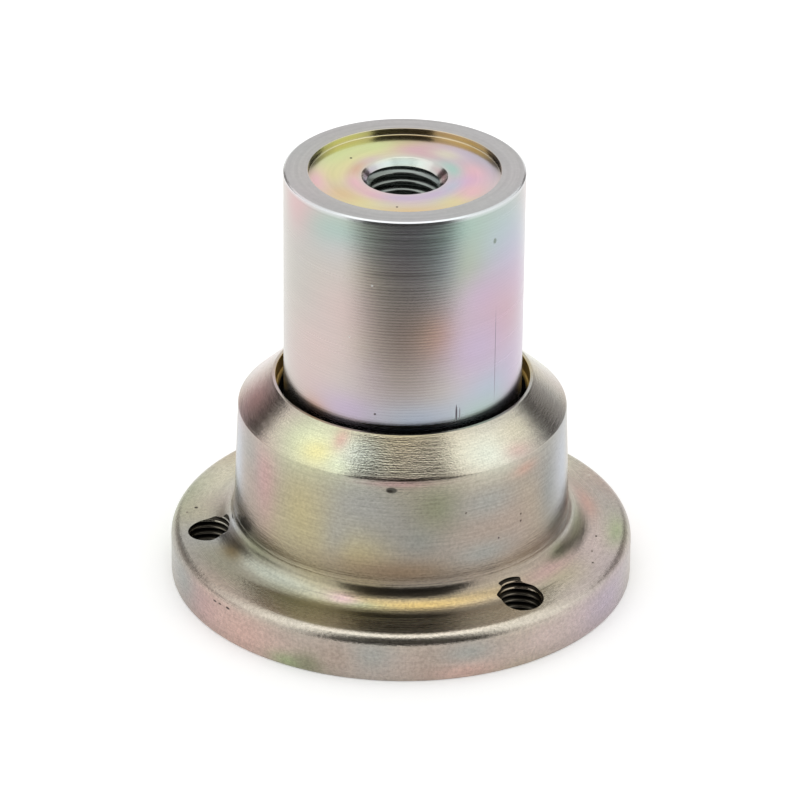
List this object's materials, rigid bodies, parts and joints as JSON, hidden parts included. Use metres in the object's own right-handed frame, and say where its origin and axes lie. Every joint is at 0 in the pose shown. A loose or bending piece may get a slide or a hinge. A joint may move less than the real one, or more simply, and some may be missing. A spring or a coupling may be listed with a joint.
{
  "type": "flanged bearing housing",
  "caption": "Turned steel housing with a round bolt flange; a plain spindle nose with a threaded end turns in sealed ball bearings pressed into its bore.",
  "frame": {"origin": "centre of the flange's foot face, on the spindle's axis", "axes": "+Z is the spindle's axis, from the foot to the nose; -Y faces the picture's viewer"},
  "size_m": [0.098, 0.098, 0.0933],
  "materials": {
    "housing_zinc": "yellow-chromated zinc on turned forged steel",
    "spindle_zinc": "yellow-chromated zinc on finely turned steel",
    "bearing_steel": "ground bearing steel",
    "ball_steel": "polished bearing steel",
    "cage_steel": "pressed sheet steel",
    "spring_steel": "phosphated spring steel",
    "seal_rubber": "moulded nitrile rubber"
  },
  "bodies": {
    "housing": {"housing": "housing_zinc", "upper_outer_ring": "bearing_steel", "lower_outer_ring": "bearing_steel", "upper_top_seal": "seal_rubber", "upper_bottom_seal": "seal_rubber", "lower_top_seal": "seal_rubber", "lower_bottom_seal": "seal_rubber"},
    "spindle": {"spindle": "spindle_zinc", "spacer_sleeve": "bearing_steel", "retaining_ring": "spring_steel", "upper_inner_ring": "bearing_steel", "lower_inner_ring": "bearing_steel"},
    "upper_cage": {"upper_balls": "ball_steel", "upper_cage_top": "cage_steel", "upper_cage_bottom": "cage_steel", "upper_cage_rivets": "cage_steel"},
    "lower_cage": {"lower_balls": "ball_steel", "lower_cage_top": "cage_steel", "lower_cage_bottom": "cage_steel", "lower_cage_rivets": "cage_steel"}
  },
  "joints": [
    {"name": "spindle_spin", "type": "hinge", "parent": "housing", "child": "spindle", "pos_m": [0, 0, 0.021], "axis": [0, 0, 1], "continuous": true},
    {"name": "upper_cage_orbit", "type": "hinge", "parent": "housing", "child": "upper_cage", "pos_m": [0, 0, 0.0304], "axis": [0, 0, 1], "continuous": true},
    {"name": "lower_cage_orbit", "type": "hinge", "parent": "housing", "child": "lower_cage", "pos_m": [0, 0, 0.0115], "axis": [0, 0, 1], "continuous": true}
  ],
  "couplings": [
    {"joint": "upper_cage_orbit", "follows": "spindle_spin", "ratio": 0.39691},
    {"joint": "lower_cage_orbit", "follows": "spindle_spin", "ratio": 0.39691}
  ]
}
